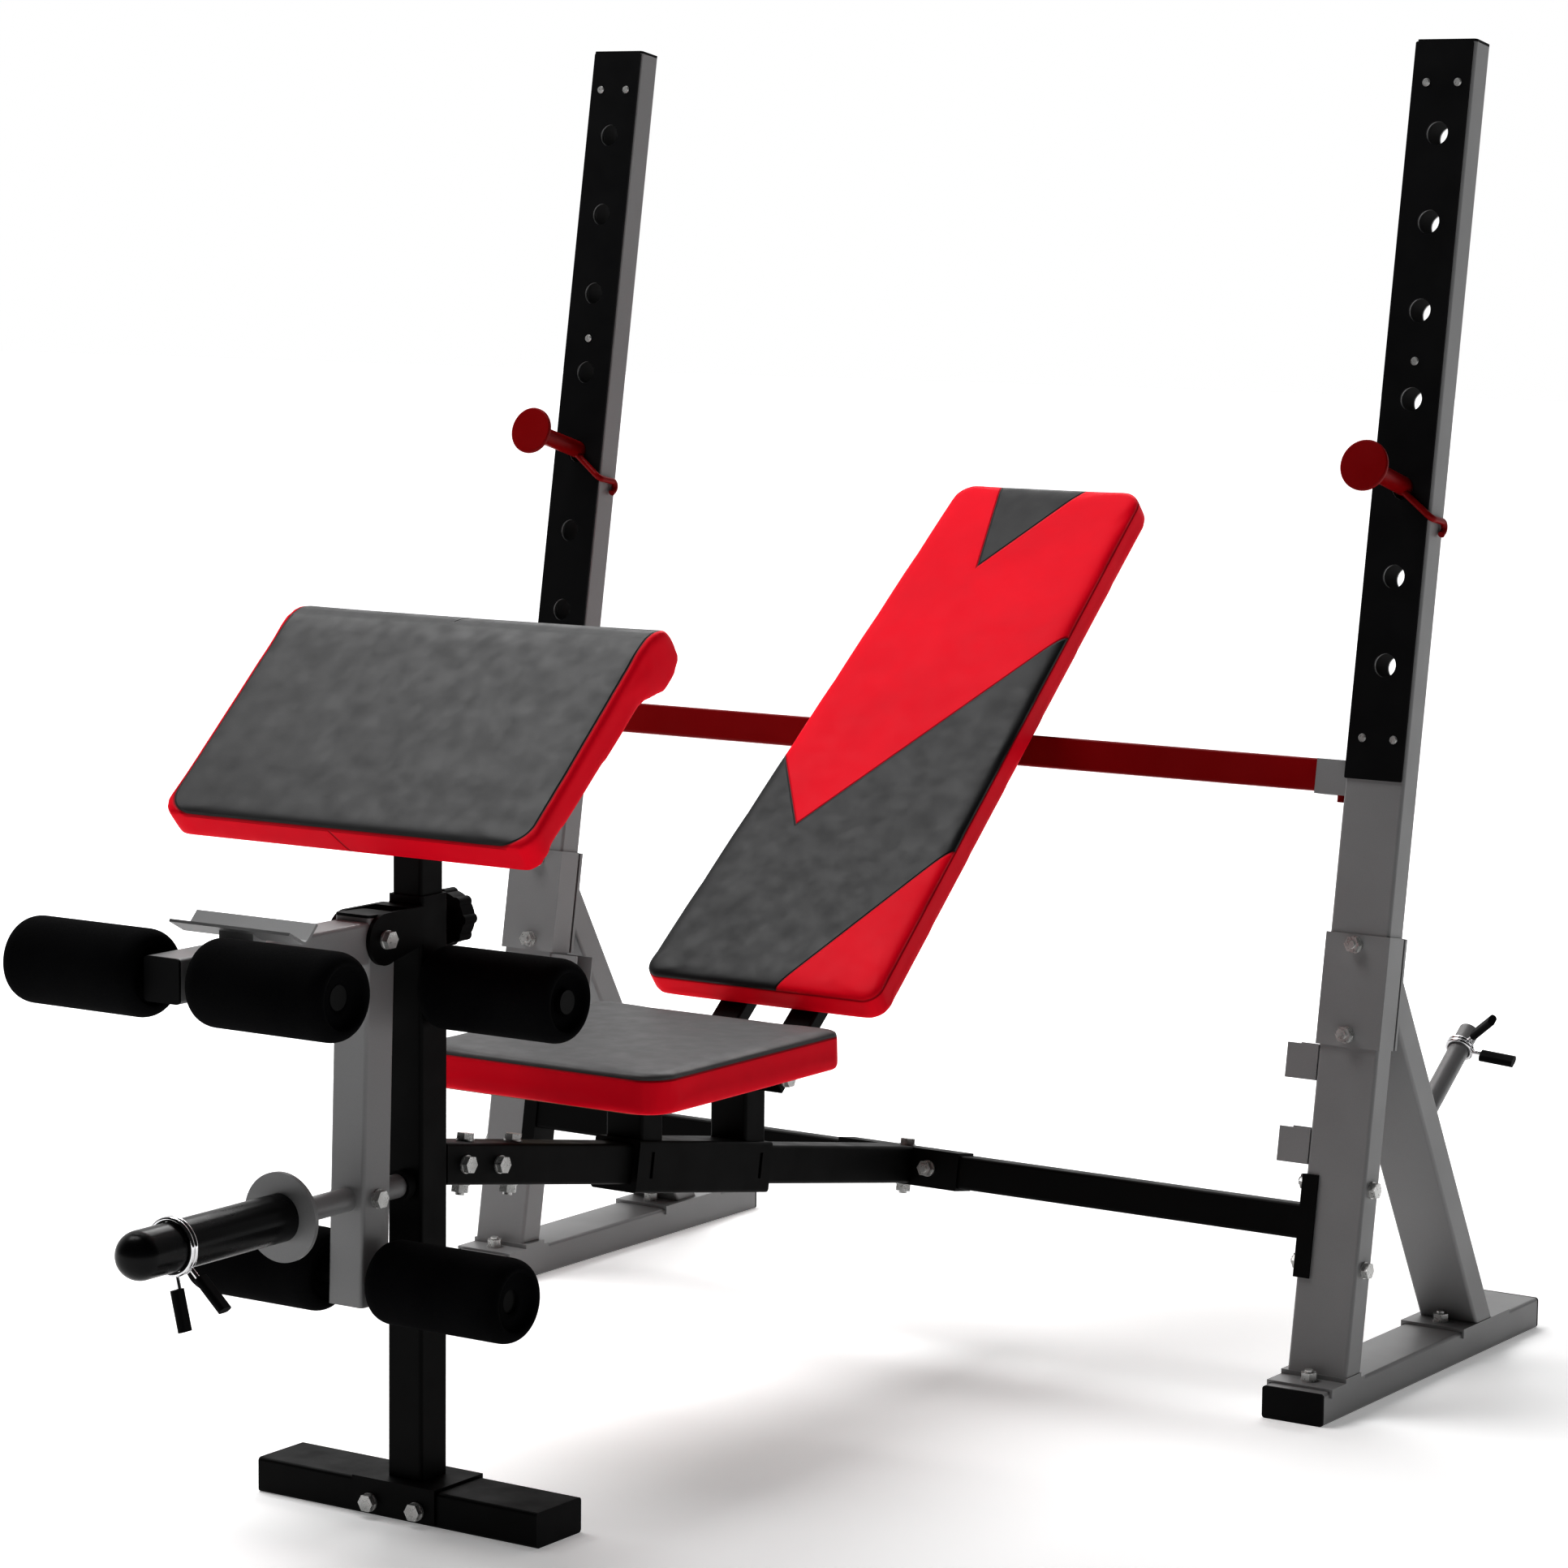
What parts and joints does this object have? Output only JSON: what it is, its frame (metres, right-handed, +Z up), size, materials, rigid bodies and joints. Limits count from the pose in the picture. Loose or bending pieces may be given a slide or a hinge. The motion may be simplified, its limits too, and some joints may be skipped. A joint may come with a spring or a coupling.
{
  "type": "olympic bench press",
  "caption": "Olympic bench with a leaning perforated rack, incline backrest, sliding seat, arm-curl pad and roller leg developer.",
  "frame": {"origin": "on the floor, under the middle of the overall box", "axes": "+Z up, -Y towards the leg developer, +Y towards the rack, +X to the side"},
  "size_m": [1.3019, 1.923, 1.5822],
  "materials": {
    "black_paint": "satin powder coat",
    "black_plastic": "matte",
    "black_vinyl": "grained vinyl",
    "chrome": "polished",
    "dark_red_paint": "satin",
    "foam": "matte foam",
    "gloss_black": "gloss",
    "grey_paint": "satin",
    "plywood": "plain",
    "red_vinyl": "grained vinyl",
    "rubber": "matte",
    "zinc": "zinc plated"
  },
  "bodies": {
    "frame": {"brace_left": "grey_paint", "brace_right": "grey_paint", "lower_post_left": "grey_paint", "lower_post_right": "grey_paint", "rear_foot_left": "grey_paint", "rear_foot_right": "grey_paint", "upper_post_left": "grey_paint", "upper_post_right": "grey_paint", "front_plates": "black_paint", "plate_rivets": "zinc", "post_caps": "black_plastic", "support_bar": "dark_red_paint", "foot_caps": "black_plastic", "cross_beam": "black_paint", "main_beam": "black_paint", "front_foot": "black_paint", "front_post": "black_paint", "post_collar": "black_plastic", "middle_roller_bar": "black_paint", "lever_pivot_bolt": "zinc", "frame_bolts": "zinc", "frame_nuts": "zinc"},
    "lever": {"leg_developer": "grey_paint", "lever_caps": "black_plastic", "curl_cradle": "grey_paint", "upper_roller_bar": "black_paint", "lower_roller_bar": "black_paint", "weight_post": "grey_paint", "weight_bumper": "rubber", "weight_bolt": "zinc", "olympic_sleeve": "gloss_black"},
    "mast": {"curl_mast": "black_paint", "curl_board": "plywood", "curl_pad": "black_vinyl"},
    "carriage": {"seat_carriage": "black_paint", "carriage_liners": "black_plastic", "seat_board": "plywood", "seat_pad": "black_vinyl", "backrest_pivot_bolt": "zinc"},
    "backrest": {"backrest_rails": "black_paint", "backrest_board": "plywood", "backrest_pad": "red_vinyl"},
    "lock_knob": {"lock_knob": "black_plastic"},
    "carriage_knob": {"carriage_knob": "black_plastic"},
    "sleeve_collar": {"sleeve_collar": "chrome", "sleeve_grips": "black_plastic"},
    "peg_collar": {"peg_collar": "chrome", "peg_grips": "black_plastic"},
    "hook_left": {"hook_pin_left": "dark_red_paint"},
    "upper_roller_left": {"upper_roller_left": "foam"},
    "middle_roller_left": {"middle_roller_left": "foam"},
    "lower_roller_left": {"lower_roller_left": "foam"},
    "hook_right": {"hook_pin_right": "dark_red_paint"},
    "upper_roller_right": {"upper_roller_right": "foam"},
    "middle_roller_right": {"middle_roller_right": "foam"},
    "lower_roller_right": {"lower_roller_right": "foam"}
  },
  "joints": [
    {"name": "leg_swing", "type": "hinge", "parent": "frame", "child": "lever", "pos_m": [0, -0.5905, 0.628], "axis": [-1, 0, 0], "range_deg": [0, 55]},
    {"name": "curl_pad_height", "type": "slide", "parent": "frame", "child": "mast", "axis": [0, 0, 1], "range_m": [0, 0.035]},
    {"name": "seat_slide", "type": "slide", "parent": "frame", "child": "carriage", "axis": [0, -0.9861, 0.1663], "range_m": [0, 0.12]},
    {"name": "backrest_tilt", "type": "hinge", "parent": "carriage", "child": "backrest", "pos_m": [0, 0.09264, 0.38427], "axis": [1, 0, 0], "range_deg": [0, 45]},
    {"name": "lock_knob_turn", "type": "hinge", "parent": "frame", "child": "lock_knob", "pos_m": [0, -0.45, 0.632], "axis": [0, 1, 0], "continuous": true},
    {"name": "carriage_knob_turn", "type": "hinge", "parent": "carriage", "child": "carriage_knob", "pos_m": [-0.05, -0.01313, 0.29561], "axis": [1, 0, 0], "continuous": true},
    {"name": "sleeve_collar_slide", "type": "slide", "parent": "lever", "child": "sleeve_collar", "axis": [0, -1, 0], "range_m": [0, 0.045]},
    {"name": "hook_left_pull", "type": "slide", "parent": "frame", "child": "hook_left", "axis": [0, -0.9639, 0.2662], "range_m": [0, 0.03]},
    {"name": "hook_right_pull", "type": "slide", "parent": "frame", "child": "hook_right", "axis": [0, -0.9639, 0.2662], "range_m": [0, 0.03]},
    {"name": "peg_collar_slide", "type": "slide", "parent": "frame", "child": "peg_collar", "axis": [0, 0.8192, 0.5736], "range_m": [0, 0.025]},
    {"name": "upper_roller_left_spin", "type": "hinge", "parent": "lever", "child": "upper_roller_left", "pos_m": [0, -0.8825, 0.625], "axis": [1, 0, 0], "continuous": true},
    {"name": "upper_roller_right_spin", "type": "hinge", "parent": "lever", "child": "upper_roller_right", "pos_m": [0, -0.8825, 0.625], "axis": [1, 0, 0], "continuous": true},
    {"name": "middle_roller_left_spin", "type": "hinge", "parent": "frame", "child": "middle_roller_left", "pos_m": [0, -0.503, 0.568], "axis": [1, 0, 0], "continuous": true},
    {"name": "middle_roller_right_spin", "type": "hinge", "parent": "frame", "child": "middle_roller_right", "pos_m": [0, -0.503, 0.568], "axis": [1, 0, 0], "continuous": true},
    {"name": "lower_roller_left_spin", "type": "hinge", "parent": "lever", "child": "lower_roller_left", "pos_m": [0, -0.6016, 0.2745], "axis": [1, 0, 0], "continuous": true},
    {"name": "lower_roller_right_spin", "type": "hinge", "parent": "lever", "child": "lower_roller_right", "pos_m": [0, -0.6016, 0.2745], "axis": [1, 0, 0], "continuous": true}
  ]
}
